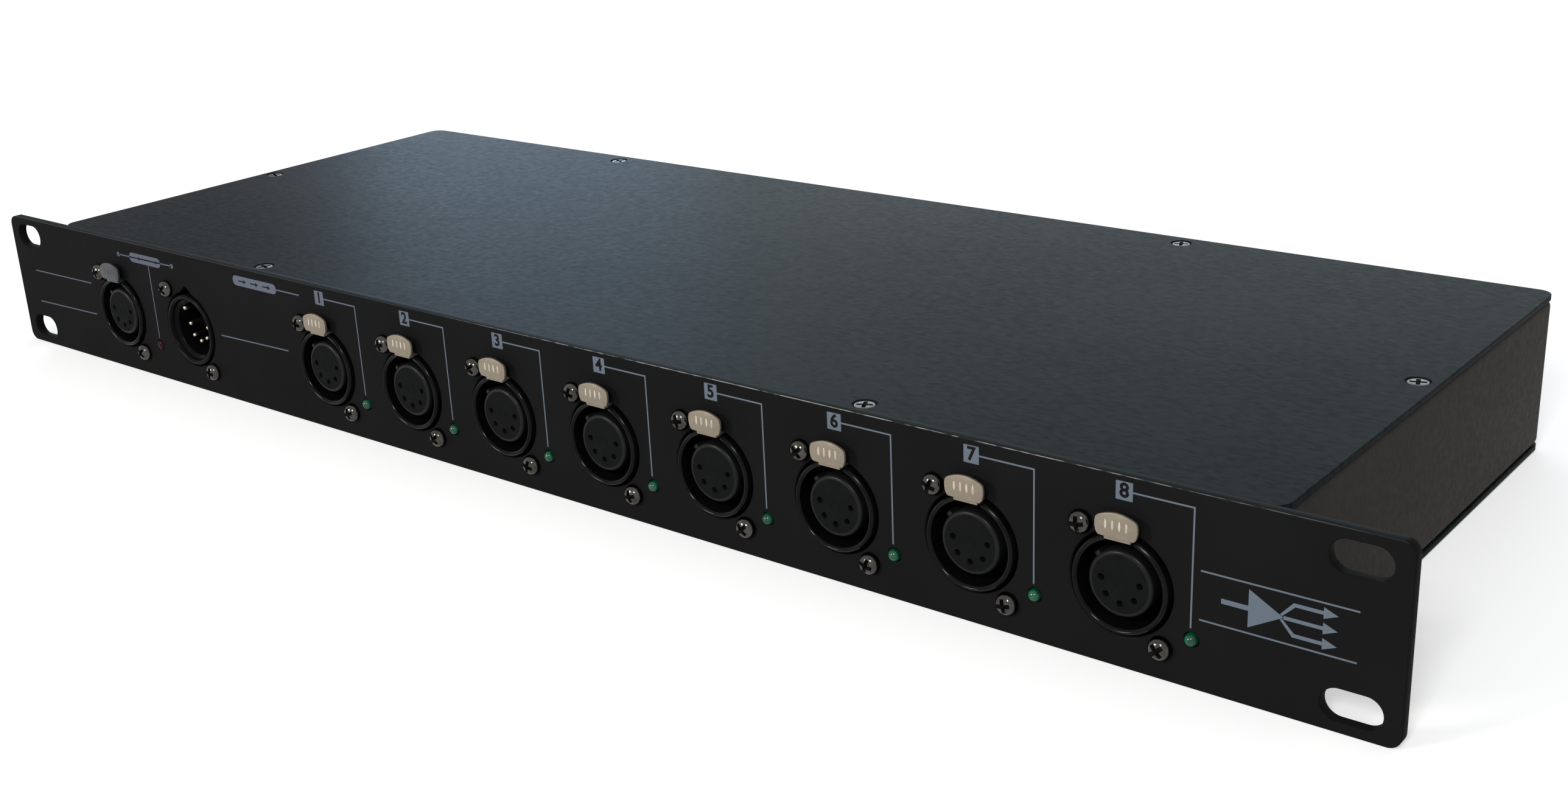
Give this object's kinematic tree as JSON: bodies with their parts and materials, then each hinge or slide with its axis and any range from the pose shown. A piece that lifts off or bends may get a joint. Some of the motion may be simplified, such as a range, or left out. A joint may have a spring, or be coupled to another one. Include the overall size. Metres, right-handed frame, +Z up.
{
  "type": "dmx splitter",
  "caption": "Rack-mounted lighting data splitter with one five-pin input, a through socket and a row of isolated outputs, each with a push latch and a lamp.",
  "frame": {"origin": "under the middle of the unit, at the height of the panel's bottom edge, half way between the front of the latch tabs and the back of the fuse drawer", "axes": "+X to the right of someone who looks at the front panel, -Y out of the front panel, +Z up"},
  "size_m": [0.4826, 0.1738, 0.0437],
  "materials": {
    "panel": "fine matte black powder coat",
    "frame": "satin dark grey-brown powder coat",
    "cover": "fine slate grey powder coat",
    "shell": "glossy black",
    "insert": "matt black moulding",
    "latch": "satin nickel",
    "screw": "dark nickel",
    "green_lamp": "clear green, unlit",
    "red_lamp": "clear red, unlit",
    "board": "green lacquer",
    "core": "varnished laminations",
    "mains": "satin black",
    "fuse": "clear tube"
  },
  "bodies": {
    "unit": {"front_panel": "panel", "chassis_frame": "frame", "top_cover": "cover", "bottom_cover": "cover", "cover_screw_1": "screw", "cover_screw_2": "screw", "cover_screw_3": "screw", "cover_screw_4": "screw", "cover_screw_5": "screw", "cover_screw_6": "screw", "through_shell": "shell", "through_insert": "insert", "output_1_shell": "shell", "output_1_insert": "insert", "output_2_shell": "shell", "output_2_insert": "insert", "output_3_shell": "shell", "output_3_insert": "insert", "output_4_shell": "shell", "output_4_insert": "insert", "output_5_shell": "shell", "output_5_insert": "insert", "output_6_shell": "shell", "output_6_insert": "insert", "output_7_shell": "shell", "output_7_insert": "insert", "output_8_shell": "shell", "output_8_insert": "insert", "input_shell": "shell", "input_insert": "insert", "power_lamp": "red_lamp", "output_1_lamp": "green_lamp", "output_2_lamp": "green_lamp", "output_3_lamp": "green_lamp", "output_4_lamp": "green_lamp", "output_5_lamp": "green_lamp", "output_6_lamp": "green_lamp", "output_7_lamp": "green_lamp", "output_8_lamp": "green_lamp", "main_board": "board", "power_board": "board", "transformer": "core", "mains_inlet": "mains", "switch_body": "mains"},
    "through_latch_body": {"through_latch": "latch"},
    "output_1_latch_body": {"output_1_latch": "latch"},
    "output_2_latch_body": {"output_2_latch": "latch"},
    "output_3_latch_body": {"output_3_latch": "latch"},
    "output_4_latch_body": {"output_4_latch": "latch"},
    "output_5_latch_body": {"output_5_latch": "latch"},
    "output_6_latch_body": {"output_6_latch": "latch"},
    "output_7_latch_body": {"output_7_latch": "latch"},
    "output_8_latch_body": {"output_8_latch": "latch"},
    "fuse_drawer_body": {"fuse_drawer": "mains", "mains_fuse": "fuse"},
    "switch_rocker_body": {"switch_rocker": "mains"}
  },
  "joints": [
    {"name": "through_latch_push", "type": "slide", "parent": "unit", "child": "through_latch_body", "axis": [0, 1, 0], "range_m": [0, 0.001], "stiffness_N_per_m": 300, "springref_m": -0.002},
    {"name": "output_1_latch_push", "type": "slide", "parent": "unit", "child": "output_1_latch_body", "axis": [0, 1, 0], "range_m": [0, 0.001], "stiffness_N_per_m": 300, "springref_m": -0.002},
    {"name": "output_2_latch_push", "type": "slide", "parent": "unit", "child": "output_2_latch_body", "axis": [0, 1, 0], "range_m": [0, 0.001], "stiffness_N_per_m": 300, "springref_m": -0.002},
    {"name": "output_3_latch_push", "type": "slide", "parent": "unit", "child": "output_3_latch_body", "axis": [0, 1, 0], "range_m": [0, 0.001], "stiffness_N_per_m": 300, "springref_m": -0.002},
    {"name": "output_4_latch_push", "type": "slide", "parent": "unit", "child": "output_4_latch_body", "axis": [0, 1, 0], "range_m": [0, 0.001], "stiffness_N_per_m": 300, "springref_m": -0.002},
    {"name": "output_5_latch_push", "type": "slide", "parent": "unit", "child": "output_5_latch_body", "axis": [0, 1, 0], "range_m": [0, 0.001], "stiffness_N_per_m": 300, "springref_m": -0.002},
    {"name": "output_6_latch_push", "type": "slide", "parent": "unit", "child": "output_6_latch_body", "axis": [0, 1, 0], "range_m": [0, 0.001], "stiffness_N_per_m": 300, "springref_m": -0.002},
    {"name": "output_7_latch_push", "type": "slide", "parent": "unit", "child": "output_7_latch_body", "axis": [0, 1, 0], "range_m": [0, 0.001], "stiffness_N_per_m": 300, "springref_m": -0.002},
    {"name": "output_8_latch_push", "type": "slide", "parent": "unit", "child": "output_8_latch_body", "axis": [0, 1, 0], "range_m": [0, 0.001], "stiffness_N_per_m": 300, "springref_m": -0.002},
    {"name": "fuse_drawer_pull", "type": "slide", "parent": "unit", "child": "fuse_drawer_body", "axis": [0, 1, 0], "range_m": [0, 0.014]},
    {"name": "switch_rocker_tilt", "type": "hinge", "parent": "unit", "child": "switch_rocker_body", "pos_m": [0.118, 0.0829, 0.02183], "axis": [1, 0, 0], "range_deg": [-20, 0]}
  ]
}
